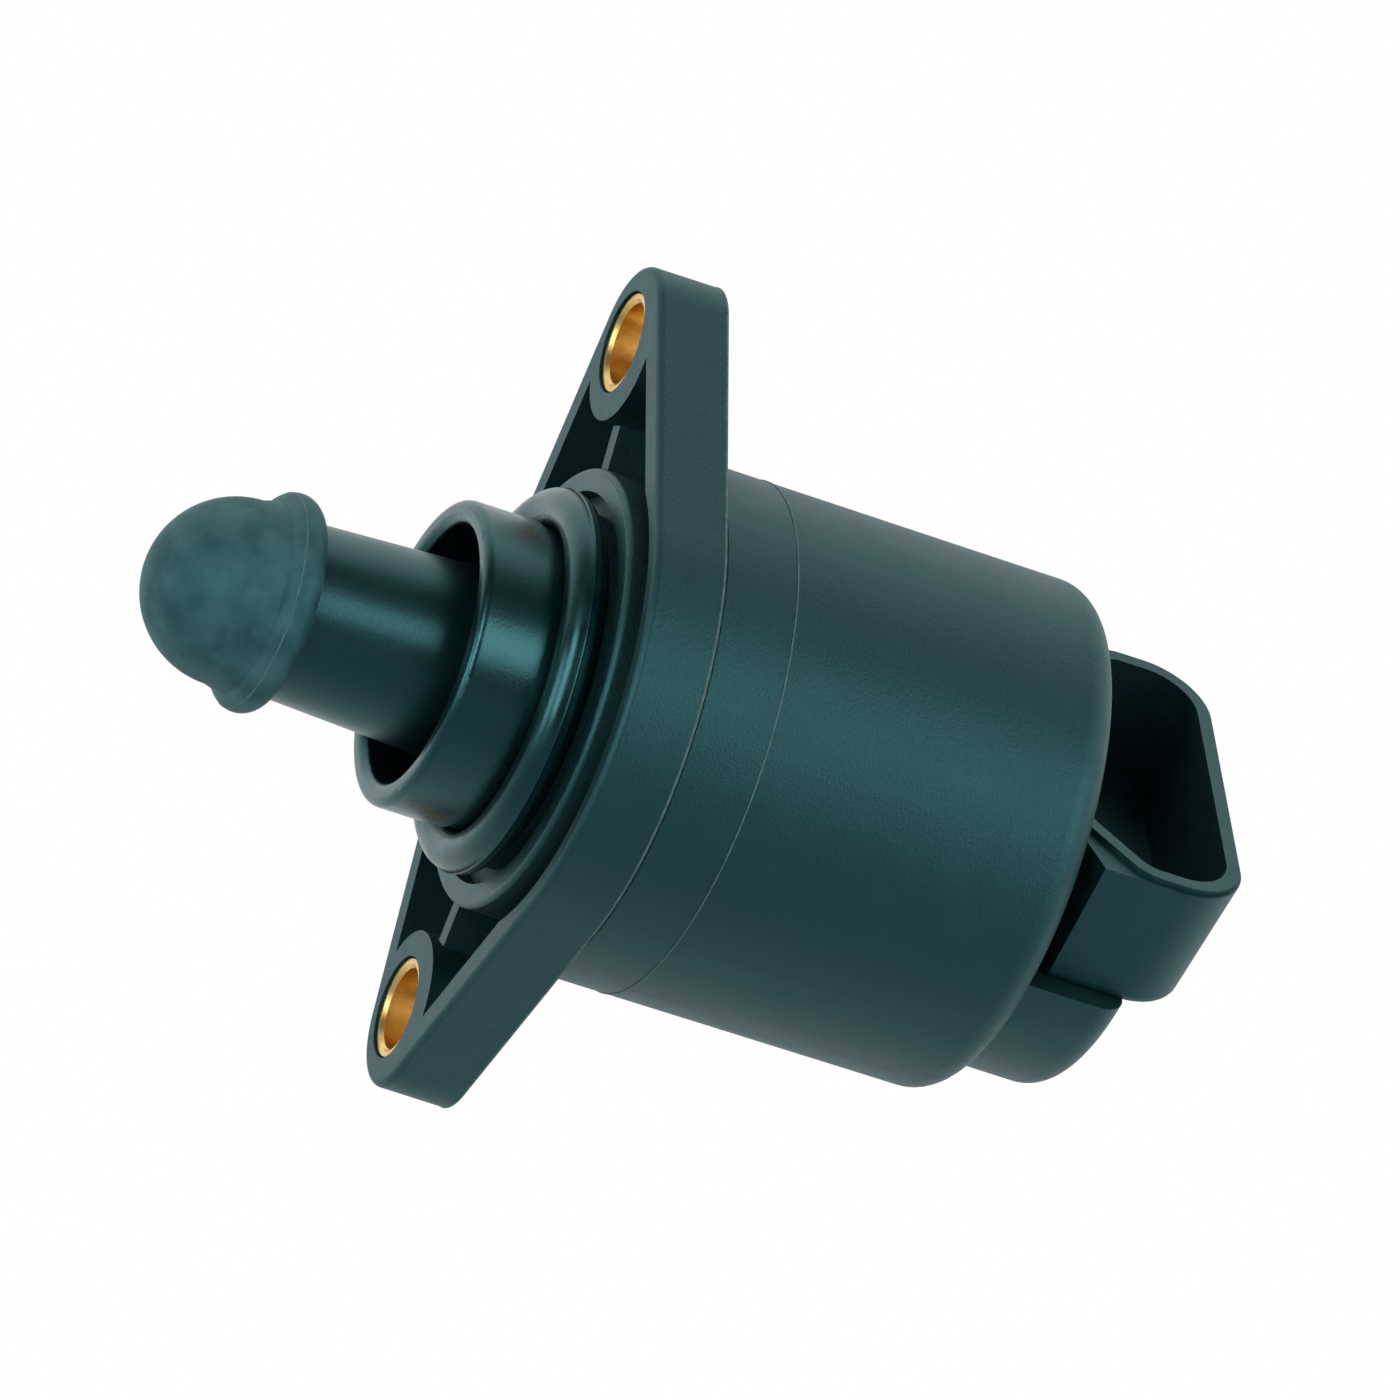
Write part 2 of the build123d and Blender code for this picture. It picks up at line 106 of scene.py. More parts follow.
camera_data = bpy.data.cameras.new("portrait_lens")
camera_data.sensor_width = SENSOR_WIDTH
camera_data.lens = FOCAL_PIXELS / PHOTO_SIDE * SENSOR_WIDTH
camera_data.clip_start, camera_data.clip_end = NEAREST, FURTHEST
camera = bpy.data.objects.new("portrait_camera", camera_data)
bpy.context.scene.collection.objects.link(camera)
camera.matrix_world = Matrix.Translation(AIM + toward_camera * DISTANCE) @ Matrix((
    right, up, toward_camera)).transposed().to_4x4()
bpy.context.scene.camera = camera
bpy.context.scene.view_settings.view_transform = "Standard"
print("lens", round(camera_data.lens), "mm, camera at", [round(c, 2) for c in camera.location])

# %% [markdown]
# ## Shader arithmetic
#
# A procedural finish is a formula over the surface. Writing it as nodes by hand is slow to read, so
# a socket is wrapped in a small class whose operators add Math nodes: `grain * 0.5 + 0.2` then makes
# two nodes. Everything that isn't arithmetic on numbers comes from one method, `node`.


# %% Wrap a socket
class Wire:
    """An output socket of a node tree. Arithmetic with numbers and other wires adds Math nodes."""

    def __init__(self, tree, socket=None):
        self.tree = tree
        self.socket = socket

    def node(self, kind, settings=(), inputs=(), output=0):
        """Add a node of that kind, set its settings first and then its inputs, and wrap one output."""
        made = self.tree.nodes.new(kind)
        for name, value in dict(settings).items():
            setattr(made, name, value)
        for name, value in dict(inputs).items():
            if isinstance(value, Wire):
                self.tree.links.new(value.socket, made.inputs[name])
            else:
                made.inputs[name].default_value = value
        return Wire(self.tree, made.outputs[output] if len(made.outputs) else None)

    def math(self, operation, *values):
        """One Math node over wires or numbers."""
        return self.node("ShaderNodeMath", {"operation": operation}, dict(enumerate(values)))

    def __add__(self, other):
        return self.math("ADD", self, other)

    def __sub__(self, other):
        return self.math("SUBTRACT", self, other)

    def __rsub__(self, other):
        return self.math("SUBTRACT", other, self)

    def __mul__(self, other):
        return self.math("MULTIPLY", self, other)

    __radd__ = __add__
    __rmul__ = __mul__

    def clamped(self):
        """The same value, kept between 0 and 1."""
        return self.node("ShaderNodeClamp", {}, {"Value": self})

    def step(self, low, high):
        """0 below low, 1 above high, and a smooth rise between them."""
        return self.node(
            "ShaderNodeMapRange", {"interpolation_type": "SMOOTHSTEP"},
            {"Value": self, "From Min": low, "From Max": high})

    def blend(self, first, second):
        """The colour first where this wire is 0, second where it is 1."""
        return self.node(
            "ShaderNodeMix", {"data_type": "RGBA"}, {0: self, 6: first, 7: second}, output=2)

    def behind_valve(self, low, high):
        """For a vector: a smooth step of its dot product with the photograph's line of sight."""
        along = self.node(
            "ShaderNodeVectorMath", {"operation": "DOT_PRODUCT"},
            {0: self, 1: tuple(-toward_camera)}, output="Value")
        return along.step(low, high)


def blank_tree(owner):
    """Switch a world or a material to nodes, clear them, and give a wire to build on."""
    owner.use_nodes = True
    owner.node_tree.nodes.clear()
    return Wire(owner.node_tree)


def linear(red, green, blue):
    """An sRGB colour from 0 to 255, as the shader's own scene-linear RGBA."""
    share = np.array([red, green, blue]) / 255
    low = share / 12.92
    high = ((share + 0.055) / 1.055) ** 2.4
    return (*np.where(share <= 0.04045, low, high).tolist(), 1.0)


print("mid grey in the shader's numbers:", round(linear(128, 128, 128)[0], 3))

# %% [markdown]
# ## Surroundings
#
# The catalogue picture is cut out on white. The white surroundings behind the valve light up every
# edge that is seen at a glancing angle. A white room would do that too, but it would also wash out
# the dark bands that give the cylinders their shape. So the world is white towards the background
# and dim on the photographer's side. The camera's own rays see plain white all round, which gives
# the same white paper from every side, and so do the mirror and glass rays that look past the valve
# to the background.

# %% Whiten the background
ROOM_LEVEL = 0.07
BACKDROP_LEVEL = 0.85
BACKDROP_STARTS, BACKDROP_FULL = -0.25, 0.45
WHITE = (1.0, 1.0, 1.0, 1.0)


def ray_masks(start):
    """Two wires: 1 for the camera's own ray, and 1 for a ray from a mirror or through glass."""
    camera_ray, glossy_ray, transmission_ray = (
        start.node("ShaderNodeLightPath", output=kind)
        for kind in ("Is Camera Ray", "Is Glossy Ray", "Is Transmission Ray"))
    return camera_ray, (glossy_ray + transmission_ray).clamped()


world = bpy.data.worlds.new("white_studio")
bpy.context.scene.world = world
sky = blank_tree(world)
camera_ray, mirror_ray = ray_masks(sky)
direction = sky.node("ShaderNodeTexCoord", output="Generated")
backdrop = direction.behind_valve(BACKDROP_STARTS, BACKDROP_FULL)
lit_room = ROOM_LEVEL + backdrop * (BACKDROP_LEVEL - ROOM_LEVEL)
shown = (camera_ray + mirror_ray * backdrop).clamped()
surroundings = sky.node("ShaderNodeBackground", {}, {
    "Color": WHITE, "Strength": lit_room * (1 - shown) + shown})
sky.node("ShaderNodeOutputWorld", {}, {"Surface": surroundings})
print("room", ROOM_LEVEL, "backdrop", BACKDROP_LEVEL)

# %% [markdown]
# ## Lamps
#
# Soft boxes beside the camera lay a broad band of light along each cylinder, with a dark band on
# each side of it. An area lamp is such a box. It spreads its power over its size, so the lamp here is
# given by how bright it looks: the power is that brightness times the area times pi.

# %% Set up the soft boxes
LAMP_DISTANCE = 1.0


def soft_box(name, bearing, height, width, length, radiance):
    """An area lamp aimed at the valve from a bearing and a height in degrees."""
    lamp = bpy.data.lights.new(name, "AREA")
    lamp.shape = "RECTANGLE"
    lamp.size, lamp.size_y = width, length
    lamp.energy = radiance * width * length * math.pi
    holder = bpy.data.objects.new(name, lamp)
    away = sight(math.radians(bearing), math.radians(height))
    turn = away.to_track_quat("Z", "Y").to_matrix().to_4x4()
    holder.matrix_world = Matrix.Translation(AIM + away * LAMP_DISTANCE) @ turn
    holder.visible_camera = False
    bpy.context.scene.collection.objects.link(holder)
    print(name, "gives", round(lamp.energy, 2), "W")


soft_box("key_box", bearing=34, height=25, width=0.90, length=0.45, radiance=2.6)
soft_box("low_key_box", bearing=40, height=2, width=0.40, length=0.40, radiance=1.8)
soft_box("left_box", bearing=-42, height=14, width=0.40, length=0.80, radiance=3.8)
soft_box("far_left_box", bearing=-75, height=0, width=0.40, length=0.50, radiance=2.8)

# %% [markdown]
# ## Floor
#
# The valve floats above a sheet of paper, which catches its shadow and throws light up at its
# underside. The sheet is pale behind the valve and a cool grey in front, where it is seen only by
# the light that it sends up. For the camera it is pale everywhere, with a little light of its own,
# so that it meets the white background without an edge, and it fades out with the distance. Seen
# from below it lets the camera through, because otherwise it would hide the underside.

# %% Lay the paper
FLOOR_DROP = 0.075
FLOOR_HALF = 0.7
FADE_STARTS, FADE_DONE = 0.35, 0.65
PALE_STARTS, PALE_FULL = -0.15, 0.22
NEAR_PAPER = (0.34, 0.40, 0.44, 1.0)
PALE_PAPER = (0.9, 0.9, 0.9, 1.0)
CAMERA_GLOW, MIRROR_GLOW = 0.54, 0.42


def paper_finish():
    """White paper that is grey towards the camera's side, except for the camera's own rays."""
    paper = bpy.data.materials.new("white_paper")
    sheet = blank_tree(paper)
    camera_ray, mirror_ray = ray_masks(sheet)
    place = sheet.node("ShaderNodeTexCoord", output="Object")
    pale = place.behind_valve(PALE_STARTS, PALE_FULL)
    matt = sheet.node("ShaderNodeBsdfDiffuse", {}, {
        "Color": (pale + camera_ray).clamped().blend(NEAR_PAPER, PALE_PAPER)})
    glow = sheet.node("ShaderNodeEmission", {}, {
        "Color": WHITE, "Strength": camera_ray * CAMERA_GLOW + mirror_ray * pale * MIRROR_GLOW})
    lit_paper = sheet.node("ShaderNodeAddShader", {}, {0: matt, 1: glow})
    distance = sheet.node(
        "ShaderNodeVectorMath", {"operation": "LENGTH"}, {0: place}, output="Value")
    from_below = sheet.node("ShaderNodeNewGeometry", output="Backfacing") * camera_ray
    faded = sheet.node("ShaderNodeMixShader", {}, {
        0: (distance.step(FADE_STARTS, FADE_DONE) + from_below).clamped(), 1: lit_paper,
        2: sheet.node("ShaderNodeBsdfTransparent")})
    sheet.node("ShaderNodeOutputMaterial", {}, {"Surface": faded})
    return paper


floor_height = cad_box[0][2] - FLOOR_DROP
floor_mesh = bpy.data.meshes.new("paper_floor")
floor_mesh.from_pydata([
    (x * FLOOR_HALF, y * FLOOR_HALF, 0)
    for x, y in ((-1, -1), (1, -1), (1, 1), (-1, 1))], [], [(0, 1, 2, 3)])
floor_mesh.materials.append(paper_finish())
floor = bpy.data.objects.new("paper_floor", floor_mesh)
floor.location = (AIM.x, AIM.y, floor_height)
bpy.context.scene.collection.objects.link(floor)
print("floor at", round(floor_height / MM, 1), "mm")

# %% [markdown]
# ## Finishes
#
# Each finish starts from one function that makes a material with a Principled shader and hands back
# a wire to build on. A finish is then three expressions: a colour that varies a little, a roughness
# that varies with it, and a height for the bump. Object coordinates are in metres here, so a noise
# scale of 5000 gives grain of a fifth of a millimetre.


# %% Make the tools for a finish
def finish(name, build, **constants):
    """A material whose Principled sockets are set by name, with build giving those that vary."""
    material = bpy.data.materials.new(name)
    start = blank_tree(material)
    place = start.node("ShaderNodeTexCoord", output="Object")
    inputs = {key.replace("_", " "): value for key, value in constants.items()}
    inputs.update(build(place))
    shader = start.node("ShaderNodeBsdfPrincipled", {}, inputs)
    start.node("ShaderNodeOutputMaterial", {}, {"Surface": shader})
    print("finish", name, "sets", ", ".join(inputs))
    return material


def noise(place, scale, detail=2.0, roughness=0.5):
    """Smooth noise from 0 to 1, with about one feature per 1/scale metres."""
    return place.node(
        "ShaderNodeTexNoise", {},
        {"Vector": place, "Scale": scale, "Detail": detail, "Roughness": roughness})


def streaks(place, scales, detail, roughness=0.5):
    """Noise whose features are 1/scale metres long on each axis, for grain that runs one way."""
    stretched = place.node("ShaderNodeMapping", {}, {"Vector": place, "Scale": scales})
    return noise(stretched, 1.0, detail, roughness)


def bump(height, distance):
    """A Normal from a height between 0 and 1 that stands for that many metres."""
    return height.node("ShaderNodeBump", {}, {"Height": height, "Distance": distance})


# %% [markdown]
# ## Moulded plastic
#
# The housing, the case and the pintle are moulded in steel tools. The tool's eroded face leaves a
# fine grain, the melt leaves flow marks in the gloss, and the colour is never quite even. Where the
# tool was turned and polished, on the collar and on the pintle's stem, the plastic is glossier and
# almost free of grain. One material could be split into two for that, but the change runs along the
# valve's axis, so a smooth step of the X coordinate does it without an edge.

# %% Mix the moulded plastic
FLOW_SCALES = (180.0, 700.0, 700.0)
FLOW_SHARE, GRAIN_SHARE, CLOUD_SHARE = 0.5, 0.3, 0.2
CLOUD_EDGES = (0.3, 0.7)
POLISHED_ROUGHNESS_CUT = 0.45
POLISHED_GRAIN_CUT = 0.75


def moulded(dark, pale, cloud_scale, grain_scale, grain_depth, low, high, polish=None):
    """Moulded plastic: cloudy colour, grain of the tool's eroded face, and flow marks in the gloss.

    The roughness runs from low to high with a weighted mean of flow, grain and clouds. polish gives
    two places along the valve axis and a colour: towards the second place the tool's face was
    smoother, which leaves the plastic glossier and of that colour.
    """
    def build(place):
        clouds = noise(place, cloud_scale, detail=3.0)
        grain = noise(place, grain_scale, detail=3.0, roughness=0.6)
        flow = streaks(place, FLOW_SCALES, detail=2.0)
        marks = flow * FLOW_SHARE + grain * GRAIN_SHARE + clouds * CLOUD_SHARE
        roughness = low + (high - low) * marks
        colour = clouds.step(*CLOUD_EDGES).blend(dark, pale)
        relief = grain
        if polish:
            start_x, end_x, smooth_colour = polish
            along = place.node("ShaderNodeSeparateXYZ", {}, {"Vector": place}, output="X")
            smooth = along.step(start_x, end_x)
            roughness = roughness * (1 - POLISHED_ROUGHNESS_CUT * smooth)
            colour = smooth.blend(colour, smooth_colour)
            relief = grain * (1 - POLISHED_GRAIN_CUT * smooth)
        return {
            "Base Color": colour,
            "Roughness": roughness,
            "Normal": bump(relief, grain_depth),
        }
    return build


# %% [markdown]
# ## Black plastic and rubber
#
# The valve is nearly black, and what the eye sees is its shine, which the picture shows blue-green.
# A Principled shader gives that with a dark base colour, a high index of refraction for the strong
# shine, and a tint on the specular part. Painting the base colour brighter would be simpler, but the
# dark bands and the insides would then be too bright.

# %% Finish the housing and the pintle
TEAL_TINT = (0.30, 0.93, 1.0, 1.0)
PLASTIC_IOR = 1.95
COLLAR_ROOT, COLLAR_POLISHED = -0.5 * MM, -1.5 * MM
BEAD_REAR, STEM_POLISHED = -19.4 * MM, -19.0 * MM

housing_finish = finish(
    "black_plastic_satin",
    moulded(
        dark=linear(2, 14, 19), pale=linear(6, 23, 28), cloud_scale=420.0, grain_scale=5200.0,
        grain_depth=0.04 * MM, low=0.40, high=0.62,
        polish=(COLLAR_ROOT, COLLAR_POLISHED, linear(3, 17, 21))),
    IOR=PLASTIC_IOR, Specular_Tint=TEAL_TINT)
pintle_finish = finish(
    "pintle_plastic_satin",
    moulded(
        dark=linear(18, 46, 51), pale=linear(60, 94, 96), cloud_scale=280.0, grain_scale=4200.0,
        grain_depth=0.04 * MM, low=0.50, high=0.78,
        polish=(BEAD_REAR, STEM_POLISHED, linear(3, 16, 20))),
    IOR=PLASTIC_IOR, Specular_Tint=TEAL_TINT)

# %% Finish the rubber
RUBBER_IOR = 1.9
RUBBER_ROUGHNESS, BLOOM_ROUGHNESS = 0.24, 0.12
BLOOM_SCALE, BLOOM_EDGES = 420.0, (0.35, 0.75)
RUBBER_GRAIN_SCALE, RUBBER_GRAIN_DEPTH = 9000.0, 0.006 * MM


def rubber(place):
    """Black rubber: nearly even, with a waxy bloom in patches that is paler and less glossy."""
    bloom = noise(place, BLOOM_SCALE, detail=4.0).step(*BLOOM_EDGES)
    return {
        "Base Color": bloom.blend(linear(2, 13, 16), linear(6, 22, 26)),
        "Roughness": RUBBER_ROUGHNESS + bloom * BLOOM_ROUGHNESS,
        "Normal": bump(noise(place, RUBBER_GRAIN_SCALE), RUBBER_GRAIN_DEPTH),
    }


ring_finish = finish("nitrile_rubber", rubber, IOR=RUBBER_IOR, Specular_Tint=TEAL_TINT)

# %% [markdown]
# ## Other plastics and the magnet
#
# The parting lines get a pale plastic, far paler than the wall that they stand on: the paleness is
# painted highlight for the light that the threads catch. The bobbins are uncoloured plastic and the
# magnet is a pressed and fired ceramic. All three are moulded or pressed, so they share the plastic's
# formula.

# %% Finish the parting lines' painted highlight, the bobbins and the magnet
# Pale plastic for the parting lines: its paleness is painted highlight for the light their edges
# catch.
parting_line_highlight_finish = finish(
    "parting_line_painted_highlight",
    moulded(
        dark=linear(66, 98, 98), pale=linear(86, 120, 118), cloud_scale=1500.0,
        grain_scale=9000.0, grain_depth=0.005 * MM, low=0.50, high=0.70))
natural_finish = finish(
    "natural_plastic",
    moulded(
        dark=linear(206, 200, 182), pale=linear(224, 218, 200), cloud_scale=240.0,
        grain_scale=4000.0, grain_depth=0.01 * MM, low=0.36, high=0.50))
magnet_finish = finish(
    "sintered_ferrite",
    moulded(
        dark=linear(52, 52, 56), pale=linear(72, 72, 76), cloud_scale=500.0,
        grain_scale=8000.0, grain_depth=0.02 * MM, low=0.50, high=0.66))

# %% [markdown]
# ## Metals
#
# Turned and drawn metal carries fine lines that run one way, and tarnish in soft patches. An
# anisotropic shader would stretch the highlight, but the lines themselves do that here: noise that is
# stretched along one axis drives both the roughness and the bump. Sintered bronze, plated sheet and
# enamelled wire have no direction, so their three scales are the same.

# %% Draw the metals
TARNISH_SCALE, TARNISH_EDGES = 600.0, (0.25, 0.75)


def drawn_metal(dark, pale, low, high, scales, depth):
    """Metal with lines whose noise has a scale for each axis, and a colour that varies in patches."""
    def build(place):
        lines = streaks(place, scales, detail=3.0, roughness=0.7)
        tarnish = noise(place, TARNISH_SCALE, detail=3.0)
        return {
            "Base Color": tarnish.step(*TARNISH_EDGES).blend(dark, pale),
            "Roughness": low + (high - low) * lines,
            "Normal": bump(lines, depth),
        }
    return build


brass_finish = finish(
    "drawn_brass",
    drawn_metal(
        dark=linear(224, 174, 88), pale=linear(250, 224, 158), low=0.22, high=0.38,
        scales=(600.0, 9000.0, 9000.0), depth=0.006 * MM),
    Metallic=1.0)
bronze_finish = finish(
    "sintered_bronze",
    drawn_metal(
        dark=linear(150, 104, 60), pale=linear(176, 128, 78), low=0.40, high=0.60,
        scales=(7000.0, 7000.0, 7000.0), depth=0.010 * MM),
    Metallic=1.0)
steel_finish = finish(
    "ground_steel",
    drawn_metal(
        dark=linear(186, 190, 194), pale=linear(212, 214, 216), low=0.16, high=0.30,
        scales=(14000.0, 900.0, 900.0), depth=0.003 * MM),
    Metallic=1.0)
sheet_finish = finish(
    "zinc_plated_sheet",
    drawn_metal(
        dark=linear(164, 168, 166), pale=linear(196, 198, 194), low=0.30, high=0.48,
        scales=(2400.0, 2400.0, 2400.0), depth=0.006 * MM),
    Metallic=1.0)
tin_finish = finish(
    "tinned_brass",
    drawn_metal(
        dark=linear(196, 196, 188), pale=linear(222, 220, 210), low=0.24, high=0.40,
        scales=(1200.0, 9000.0, 3000.0), depth=0.005 * MM),
    Metallic=1.0)
copper_finish = finish(
    "enamelled_copper",
    drawn_metal(
        dark=linear(150, 66, 28), pale=linear(188, 92, 44), low=0.18, high=0.30,
        scales=(3000.0, 3000.0, 3000.0), depth=0.002 * MM),
    Metallic=1.0, Coat_Weight=0.6)

# %% [markdown]
# ## Finishes on the solids
#
# The frame's record says which material each solid is made of. One table from those names to the
# finishes dresses them all, and an added piece looks its own finish up in the same table.

# %% Dress the solids
FINISHES = {
    "black_plastic": housing_finish, "nose_plastic": pintle_finish, "rubber": ring_finish,
    "brass": brass_finish, "bronze": bronze_finish, "natural_plastic": natural_finish,
    "bearing_steel": steel_finish, "plated_sheet": sheet_finish, "copper_wire": copper_finish,
    "magnet": magnet_finish, "terminal_metal": tin_finish}
slot_of = {part["node"]: part["material_slot"] for part in frame["record"]["subparts"]}
for name, node in nodes.items():
    for index in range(len(node.material_slots)):
        node.material_slots[index].material = FINISHES[slot_of[name]]
print("finishes:", len(FINISHES), "on", len(nodes), "solids' nodes")

# %% [markdown]
# ## Surfaces from numbers
#
# Every added piece is a grid of points, rows along one parameter and columns along the other. The
# helper turns such a grid into a mesh: each cell becomes a quad, and an edge that closes on itself
# is joined by taking the index modulo the number of rows or columns.

# %% Turn a grid into a piece
SHARP_ANGLE = math.radians(42)


def surface(name, points, body, slot_name, close_rows=False, capped=False, material=None):
    """A mesh from a (rows, columns, 3) grid in metres whose columns close on themselves."""
    rows, columns = points.shape[:2]
    row = np.arange(rows if close_rows else rows - 1)[:, None]
    column = np.arange(columns)[None, :]
    next_row, next_column = (row + 1) % rows, (column + 1) % columns
    quads = np.stack([
        row * columns + column, row * columns + next_column,
        next_row * columns + next_column, next_row * columns + column], axis=-1)
    faces = quads.reshape(-1, 4).tolist()
    if capped:
        ring = np.arange(columns)
        faces += [ring[::-1].tolist(), (ring + (rows - 1) * columns).tolist()]
    mesh = bpy.data.meshes.new(name)
    mesh.from_pydata(points.reshape(-1, 3).tolist(), [], faces)
    mesh.validate()
    mesh.materials.append(material or FINISHES[slot_name])
    mesh.shade_smooth()
    mesh.set_sharp_from_angle(angle=SHARP_ANGLE)
    piece = bpy.data.objects.new(name, mesh)
    bpy.context.scene.collection.objects.link(piece)
    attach(piece, body)
    print(name, "has", len(mesh.vertices), "points and", len(mesh.polygons), "faces")
    return piece


def full_turn(count):
    """That many angles evenly round one turn, without the last, which would meet the first."""
    return np.linspace(0, 2 * np.pi, count, endpoint=False)


def turned(x, radius, angle):
    """A grid about the valve's axis: the point at the angle a is (x, r cos a, r sin a)."""
    return np.stack(
        np.broadcast_arrays(x, radius * np.cos(angle), radius * np.sin(angle)), axis=-1)


# %% [markdown]
# ## O-ring
#
# A moulded O-ring carries a line of flash round its outside, where the two halves of the mould met.
# A torus with a second thin torus pushed into it would show a crease. Here the section is one circle
# whose radius grows by a narrow bell curve at the outermost point. Turned about the axis, that gives
# the fine line that splits the ring's highlight.

# %% Mould the O-ring
FLASH_HEIGHT, FLASH_WIDTH = 0.05 * MM, 0.05
RING_SECTION_POINTS, RING_COLUMNS = 144, 256

ring_low, ring_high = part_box("o_ring")
cord_radius = (ring_high.x - ring_low.x) / 2
ring_middle = (ring_low.x + ring_high.x) / 2
section = full_turn(RING_SECTION_POINTS)[:, None]
flash = FLASH_HEIGHT * np.exp(-(np.sin(section / 2) * 2 / FLASH_WIDTH) ** 2)
section_radius = cord_radius - FLASH_HEIGHT / 2 + flash
o_ring = surface(
    "o_ring_with_flash",
    turned(
        ring_middle + section_radius * np.sin(section),
        ring_high.z - cord_radius + section_radius * np.cos(section),
        full_turn(RING_COLUMNS)),
    "valve_body", "rubber", close_rows=True)
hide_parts("o_ring")

# %% [markdown]
# ## Parting lines
#
# Where two halves of a mould meet, a thread of plastic a few hundredths of a millimetre high is left.
# The photograph shows three: round the rear edge of the flange, round the case behind it, and round
# the front of the bead on the pintle. Each is a small ellipse swept round an outline in the YZ plane.
# A bump in the material would be lighter, but it would not catch the light at the silhouette.
# The threads are painted pale, a painted highlight for the light that they catch.
#
# The flange's outline is the convex hull of three circles, the case and the two ears. In a direction
# $n$ the hull reaches furthest at $c + r\,n$ of the circle with the greatest $c \cdot n + r$, so one
# `argmax` gives the whole outline with its outward directions.

# %% Work out the outlines, in millimetres
OUTLINE_POINTS, LINE_SECTION_POINTS = 480, 12
FLANGE_RADIUS, EAR_RADIUS = 18.4, 5.55
EAR_Y, EAR_Z = 7.4, 24.0

bearing = full_turn(OUTLINE_POINTS)
outward = np.stack([np.cos(bearing), np.sin(bearing)], axis=-1)
circle_centres = np.array([[0.0, 0.0], [EAR_Y, EAR_Z], [EAR_Y, -EAR_Z]])
circle_radii = np.array([FLANGE_RADIUS, EAR_RADIUS, EAR_RADIUS])
furthest = np.argmax(outward @ circle_centres.T + circle_radii, axis=1)
flange_outline = circle_centres[furthest] + circle_radii[furthest, None] * outward
print("flange outline reaches", np.abs(flange_outline).max(axis=0).round(2).tolist(), "mm")

# %% Run the three lines
FLANGE_LINE_X, FLANGE_LINE_SINK = 5.17, 0.06
CASE_LINE_X, CASE_LINE_RADIUS = 10.65, 18.33
BEAD_LINE_X, BEAD_LINE_RADIUS = -21.15, 7.65


def parting_line(name, x, outline, width, height, body, slot_name):
    """A closed thread at x: its section at the angle t is (width sin t, height cos t outward)."""
    section = full_turn(LINE_SECTION_POINTS)[:, None, None]
    across = outline[None] + height * np.cos(section) * outward[None]
    along = x + width * np.sin(section) + 0 * across[..., :1]
    # The thread gets the pale finish, which is painted highlight along the line.
    return surface(
        name, np.concatenate([along, across], axis=-1) * MM, body, slot_name, close_rows=True,
        material=parting_line_highlight_finish)


parting_line(
    "flange_parting_line", FLANGE_LINE_X, flange_outline - FLANGE_LINE_SINK * outward,
    width=0.11, height=0.10, body="valve_body", slot_name="black_plastic")
parting_line(
    "case_parting_line", CASE_LINE_X, CASE_LINE_RADIUS * outward,
    width=0.06, height=0.028, body="valve_body", slot_name="black_plastic")
parting_line(
    "pintle_parting_line", BEAD_LINE_X, BEAD_LINE_RADIUS * outward,
    width=0.07, height=0.06, body="pintle_screw", slot_name="nose_plastic")

# %% [markdown]
# ## Screw thread
#
# The lead screw has a trapezoidal thread of 1 mm pitch. At the place $x$ and the angle $a$ the
# thread's phase is $x / p + a / 2\pi$, a left-hand helix, because the nut has to turn forwards about
# +X to draw the pintle in. A triangle wave of that phase, cut off at top and bottom, gives crest,
# flank and root. Two flats, which keep the screw from turning in the guide plate, are cut afterwards.
# A pair of rows a hair apart at each end of the flats keeps their steps upright.

# %% Cut the thread
PITCH, THREAD_DEPTH = 1.0 * MM, 0.34 * MM
THREAD_START, THREAD_RUN_IN = -4.0 * MM, 0.6 * MM
ROOT_SHARE, FLANK_SHARE = 0.3, 0.4
FLAT_FROM, FLAT_TO, FLAT_HALF = -9.0 * MM, 5.7 * MM, 2.0 * MM
SCREW_CHAMFER, HAIR = 0.4 * MM, 0.002 * MM
THREAD_ROWS, SCREW_COLUMNS = 340, 60

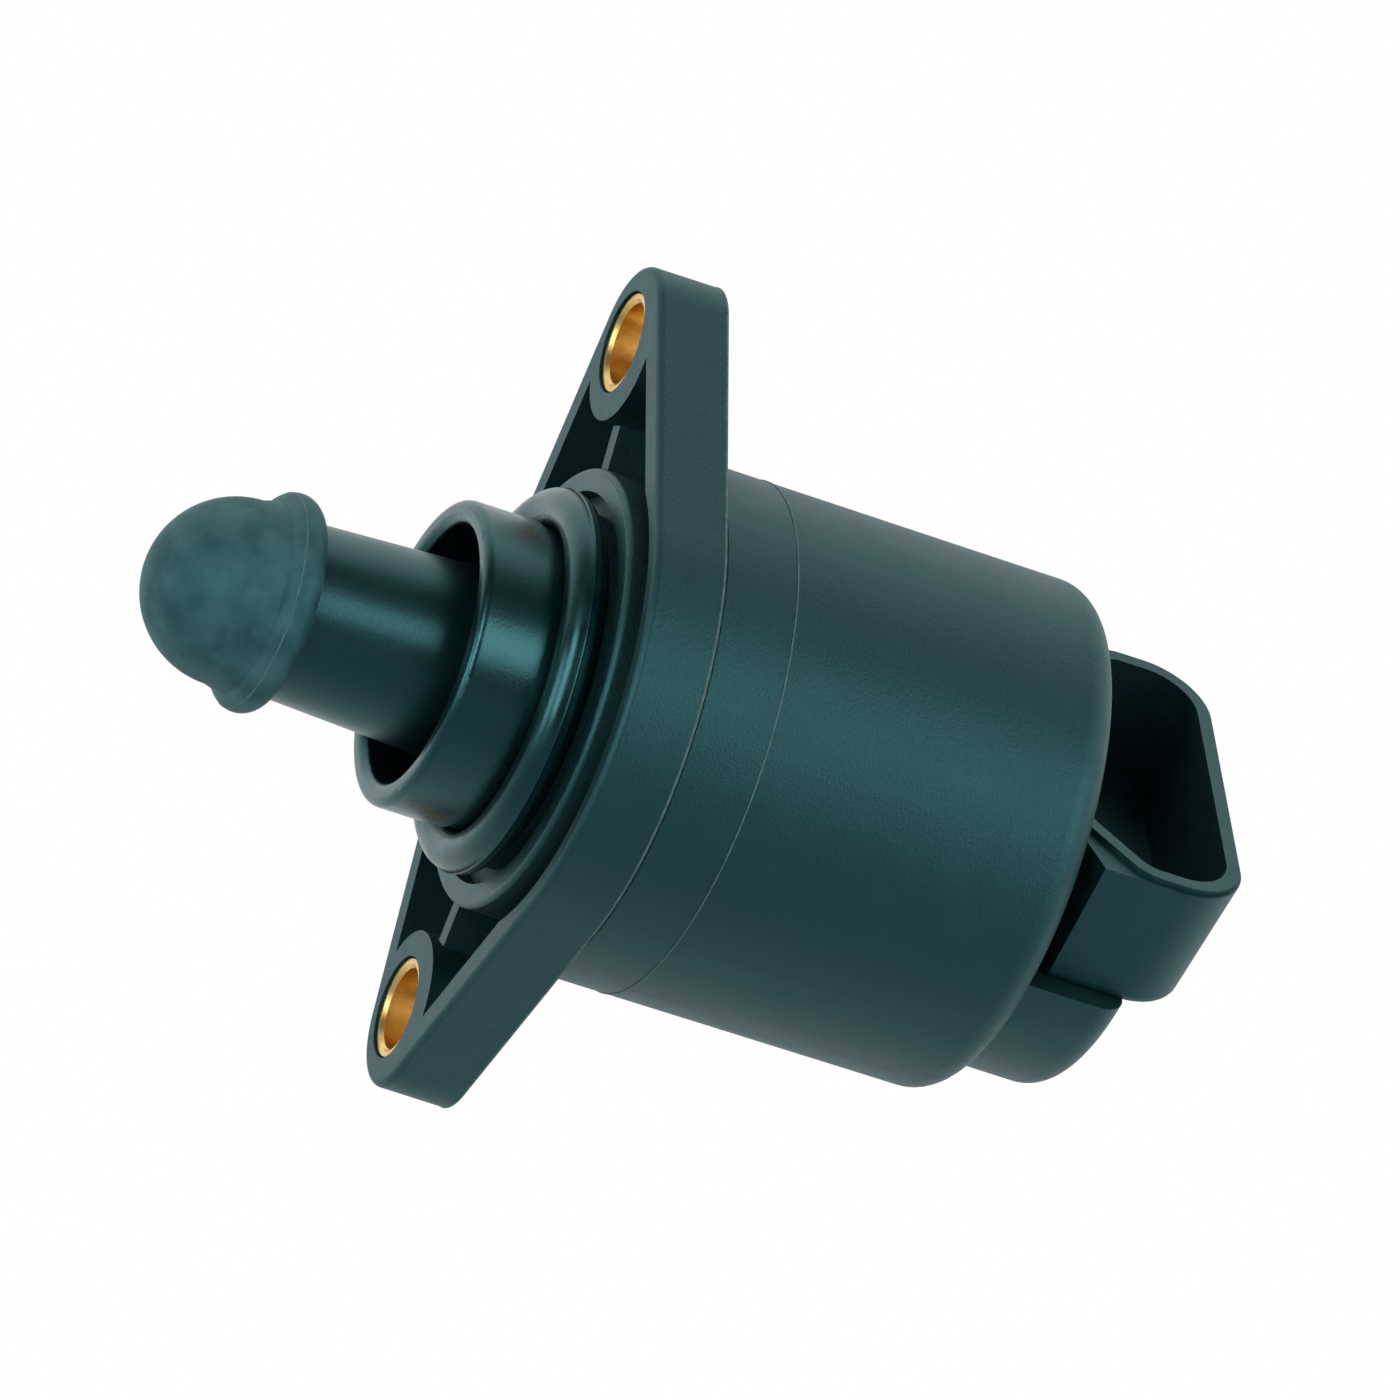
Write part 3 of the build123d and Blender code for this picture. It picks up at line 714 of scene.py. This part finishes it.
screw_low, screw_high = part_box("lead_screw")
x = np.sort(np.concatenate([
    [screw_low.x, FLAT_FROM - HAIR, FLAT_FROM + HAIR, FLAT_TO - HAIR, FLAT_TO + HAIR],
    np.linspace(THREAD_START, screw_high.x - SCREW_CHAMFER, THREAD_ROWS), [screw_high.x]]))[:, None]
angle = full_turn(SCREW_COLUMNS)[None, :]
phase = (x / PITCH + angle / (2 * np.pi)) % 1
crest = np.clip((np.abs(2 * phase - 1) - ROOT_SHARE) / FLANK_SHARE, 0, 1)
threaded = np.clip((x - THREAD_START) / THREAD_RUN_IN, 0, 1)
screw_radius = screw_high.z - THREAD_DEPTH * threaded * (1 - crest)
screw_radius = np.minimum(screw_radius, screw_high.z - SCREW_CHAMFER + screw_high.x - x)
screw_points = turned(x, screw_radius, angle)
flat_here = (x > FLAT_FROM) & (x < FLAT_TO)
y = screw_points[..., 1]
screw_points[..., 1] = np.where(flat_here, np.clip(y, -FLAT_HALF, FLAT_HALF), y)
screw = surface(
    "threaded_lead_screw", screw_points, "pintle_screw", slot_of["lead_screw"], capped=True)
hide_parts("lead_screw")

# %% [markdown]
# ## Windings
#
# Each coil is wound from fine enamelled wire in many layers. Only the outermost layer could ever be
# seen, so the outside alone is shaped into a row of rounded turns. With the phase
# $u = x / w - a / 2\pi$ the height follows $|\cos \pi u|$, so a turn of wire climbs by one width $w$
# round the bobbin.

# %% Wind the coils
WIRE, WIRE_RELIEF = 0.30 * MM, 0.12 * MM
WINDING_BORE = 10.6 * MM
ROWS_PER_WIRE, COIL_COLUMNS = 8, 96

angle = full_turn(COIL_COLUMNS)[None, :]
for name in ("winding_front", "winding_rear"):
    low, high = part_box(name)
    x = np.linspace(low.x, high.x, ROWS_PER_WIRE * round((high.x - low.x) / WIRE) + 1)[:, None]
    edge = np.clip(np.minimum(x - low.x, high.x - x) / WIRE, 0, 1)
    turns = np.abs(np.cos(np.pi * (x / WIRE - angle / (2 * np.pi))))
    outside = high.z - WIRE_RELIEF * edge * (1 - turns)
    bore = WINDING_BORE + 0 * angle
    coil = surface(
        f"{name}_turns",
        turned(np.concatenate([x, x[-1:], x[:1]]), np.concatenate([outside, bore, bore]), angle),
        "valve_body", slot_of[name], close_rows=True)
    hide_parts(name)

# %% Update the dressed valve
bpy.context.view_layer.update()
